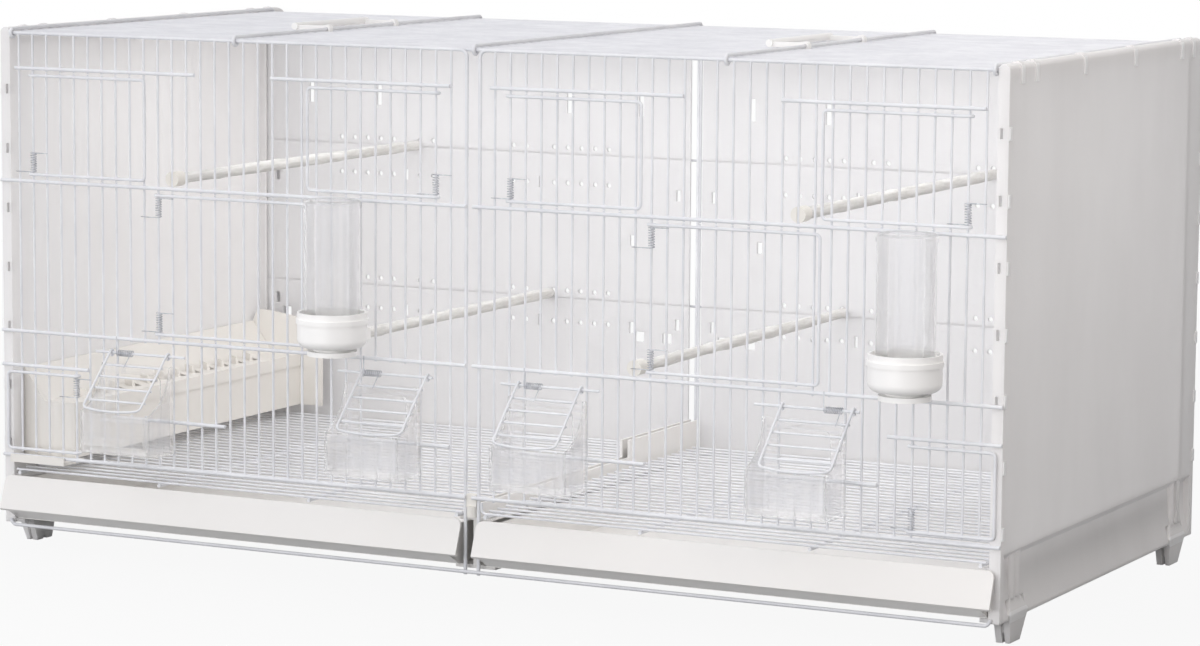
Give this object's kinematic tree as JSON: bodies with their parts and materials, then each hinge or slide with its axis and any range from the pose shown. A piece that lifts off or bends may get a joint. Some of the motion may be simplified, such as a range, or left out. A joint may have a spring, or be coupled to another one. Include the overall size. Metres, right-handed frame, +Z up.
{
  "type": "bird breeding cage",
  "caption": "Wide double bird breeding cage with wire front and roof, sprung doors, seed cups with landing flaps, drinkers and slide-out trays.",
  "frame": {"origin": "centre of the bounding box, on the floor plane under the feet", "axes": "+X to the right seen from the front, -Y out of the wire front, +Z up"},
  "size_m": [0.905, 0.5014, 0.4425],
  "materials": {
    "panel_plastic": "matt moulded",
    "back_plastic": "matt sheet",
    "white_wire": "gloss powder coat",
    "white_plastic": "gloss",
    "clear_plastic": "clear",
    "spring_steel": "drawn",
    "perch_stick": "rough",
    "clip_plastic": "matt",
    "tray_plastic": "satin",
    "cream_plastic": "matt"
  },
  "bodies": {
    "cage": {"side_left": "panel_plastic", "side_right": "panel_plastic", "feet": "panel_plastic", "back_left": "back_plastic", "back_right": "back_plastic", "back_post": "white_wire", "roof_wires": "white_wire", "roof_cross": "white_wire", "roof_hooks": "white_wire", "front_left_wires": "white_wire", "front_left_bars": "white_wire", "front_right_wires": "white_wire", "front_right_bars": "white_wire", "door_springs": "spring_steel", "flap_springs": "spring_steel", "perch_1": "perch_stick", "perch_2": "perch_stick", "perch_3": "perch_stick", "perch_4": "perch_stick", "perch_clips": "clip_plastic", "centre_rail": "tray_plastic", "centre_clip": "clip_plastic", "bottom_rail": "white_wire", "box_trough": "cream_plastic", "box_front": "cream_plastic", "box_end": "cream_plastic"},
    "door_top_1_leaf": {"door_top_1": "white_wire"},
    "door_top_2_leaf": {"door_top_2": "white_wire"},
    "door_top_3_leaf": {"door_top_3": "white_wire"},
    "door_top_4_leaf": {"door_top_4": "white_wire"},
    "door_mid_1_leaf": {"door_mid_1": "white_wire"},
    "door_mid_2_leaf": {"door_mid_2": "white_wire"},
    "door_low_1_leaf": {"door_low_1": "white_wire"},
    "door_low_2_leaf": {"door_low_2": "white_wire"},
    "flap_1_leaf": {"flap_1": "white_wire"},
    "cup_1_body": {"cup_1": "clear_plastic"},
    "flap_2_leaf": {"flap_2": "white_wire"},
    "cup_2_body": {"cup_2": "clear_plastic"},
    "flap_3_leaf": {"flap_3": "white_wire"},
    "cup_3_body": {"cup_3": "clear_plastic"},
    "flap_4_leaf": {"flap_4": "white_wire"},
    "cup_4_body": {"cup_4": "clear_plastic"},
    "drinker_1": {"drinker_tube_1": "clear_plastic", "drinker_base_1": "white_plastic"},
    "drinker_2": {"drinker_tube_2": "clear_plastic", "drinker_base_2": "white_plastic"},
    "tray_left_body": {"tray_left": "tray_plastic"},
    "floor_left_grid": {"floor_left": "white_wire"},
    "tray_right_body": {"tray_right": "tray_plastic"},
    "floor_right_grid": {"floor_right": "white_wire"},
    "seed_lid": {"box_lid": "cream_plastic"},
    "handle_left_bail": {"handle_left": "white_plastic"},
    "handle_right_bail": {"handle_right": "white_plastic"}
  },
  "joints": [
    {"name": "door_top_1_hinge", "type": "hinge", "parent": "cage", "child": "door_top_1_leaf", "pos_m": [-0.42, -0.18832, 0.35825], "axis": [0, 0, -1], "range_deg": [0, 100], "stiffness_Nm_per_rad": 0.02, "springref_deg": -28.65, "deforming": ["door_springs"]},
    {"name": "door_top_2_hinge", "type": "hinge", "parent": "cage", "child": "door_top_2_leaf", "pos_m": [-0.0336, -0.18832, 0.35825], "axis": [0, 0, 1], "range_deg": [0, 100], "stiffness_Nm_per_rad": 0.02, "springref_deg": -28.65, "deforming": ["door_springs"]},
    {"name": "door_top_3_hinge", "type": "hinge", "parent": "cage", "child": "door_top_3_leaf", "pos_m": [0.0336, -0.18832, 0.35825], "axis": [0, 0, -1], "range_deg": [0, 100], "stiffness_Nm_per_rad": 0.02, "springref_deg": -28.65, "deforming": ["door_springs"]},
    {"name": "door_top_4_hinge", "type": "hinge", "parent": "cage", "child": "door_top_4_leaf", "pos_m": [0.42, -0.18832, 0.35825], "axis": [0, 0, 1], "range_deg": [0, 100], "stiffness_Nm_per_rad": 0.02, "springref_deg": -28.65, "deforming": ["door_springs"]},
    {"name": "door_mid_1_hinge", "type": "hinge", "parent": "cage", "child": "door_mid_1_leaf", "pos_m": [-0.2958, -0.18832, 0.2475], "axis": [0, 0, -1], "range_deg": [0, 100], "stiffness_Nm_per_rad": 0.02, "springref_deg": -28.65, "deforming": ["door_springs"]},
    {"name": "door_mid_2_hinge", "type": "hinge", "parent": "cage", "child": "door_mid_2_leaf", "pos_m": [0.1578, -0.18832, 0.2475], "axis": [0, 0, -1], "range_deg": [0, 100], "stiffness_Nm_per_rad": 0.02, "springref_deg": -28.65, "deforming": ["door_springs"]},
    {"name": "door_low_1_hinge", "type": "hinge", "parent": "cage", "child": "door_low_1_leaf", "pos_m": [-0.3786, -0.18832, 0.1165], "axis": [0, 0, 1], "range_deg": [0, 100], "stiffness_Nm_per_rad": 0.02, "springref_deg": -28.65, "deforming": ["door_springs"]},
    {"name": "door_low_2_hinge", "type": "hinge", "parent": "cage", "child": "door_low_2_leaf", "pos_m": [0.3786, -0.18832, 0.1165], "axis": [0, 0, -1], "range_deg": [0, 100], "stiffness_Nm_per_rad": 0.02, "springref_deg": -28.65, "deforming": ["door_springs"]},
    {"name": "flap_1_hinge", "type": "hinge", "parent": "cage", "child": "flap_1_leaf", "pos_m": [-0.3096, -0.19048, 0.1718], "axis": [-1, 0, 0], "range_deg": [0, 55], "stiffness_Nm_per_rad": 0.01, "springref_deg": -34.38, "deforming": ["flap_springs"]},
    {"name": "cup_1_lift_out", "type": "slide", "parent": "cage", "child": "cup_1_body", "axis": [0, -0.7071, -0.7071], "range_m": [0, 0.026]},
    {"name": "flap_2_hinge", "type": "hinge", "parent": "cage", "child": "flap_2_leaf", "pos_m": [-0.075, -0.19048, 0.1718], "axis": [-1, 0, 0], "range_deg": [0, 44], "stiffness_Nm_per_rad": 0.01, "springref_deg": -34.38, "deforming": ["flap_springs"]},
    {"name": "cup_2_lift_out", "type": "slide", "parent": "cage", "child": "cup_2_body", "axis": [0, -0.7071, -0.7071], "range_m": [0, 0.026]},
    {"name": "flap_3_hinge", "type": "hinge", "parent": "cage", "child": "flap_3_leaf", "pos_m": [0.075, -0.19048, 0.1718], "axis": [-1, 0, 0], "range_deg": [0, 55], "stiffness_Nm_per_rad": 0.01, "springref_deg": -34.38, "deforming": ["flap_springs"]},
    {"name": "cup_3_lift_out", "type": "slide", "parent": "cage", "child": "cup_3_body", "axis": [0, -0.7071, -0.7071], "range_m": [0, 0.026]},
    {"name": "flap_4_hinge", "type": "hinge", "parent": "cage", "child": "flap_4_leaf", "pos_m": [0.2958, -0.19048, 0.1718], "axis": [-1, 0, 0], "range_deg": [0, 55], "stiffness_Nm_per_rad": 0.01, "springref_deg": -34.38, "deforming": ["flap_springs"]},
    {"name": "cup_4_lift_out", "type": "slide", "parent": "cage", "child": "cup_4_body", "axis": [0, -0.7071, -0.7071], "range_m": [0, 0.026]},
    {"name": "drinker_1_pull_off", "type": "slide", "parent": "cage", "child": "drinker_1", "axis": [0, -1, 0], "range_m": [0, 0.06]},
    {"name": "drinker_2_pull_off", "type": "slide", "parent": "cage", "child": "drinker_2", "axis": [0, -1, 0], "range_m": [0, 0.06]},
    {"name": "tray_left_slide", "type": "slide", "parent": "cage", "child": "tray_left_body", "axis": [0, -1, 0], "range_m": [0, 0.38]},
    {"name": "floor_left_slide", "type": "slide", "parent": "cage", "child": "floor_left_grid", "axis": [0, -1, 0], "range_m": [0, 0.38]},
    {"name": "tray_right_slide", "type": "slide", "parent": "cage", "child": "tray_right_body", "axis": [0, -1, 0], "range_m": [0, 0.38]},
    {"name": "floor_right_slide", "type": "slide", "parent": "cage", "child": "floor_right_grid", "axis": [0, -1, 0], "range_m": [0, 0.38]},
    {"name": "seed_lid_lift_off", "type": "slide", "parent": "cage", "child": "seed_lid", "axis": [0, 0, 1], "range_m": [0, 0.05]},
    {"name": "handle_left_hinge", "type": "hinge", "parent": "cage", "child": "handle_left_bail", "pos_m": [-0.22075, 0.01227, 0.4378], "axis": [0, 1, 0], "range_deg": [0, 90]},
    {"name": "handle_right_hinge", "type": "hinge", "parent": "cage", "child": "handle_right_bail", "pos_m": [0.22075, 0.01227, 0.4378], "axis": [0, 1, 0], "range_deg": [0, 90]}
  ]
}
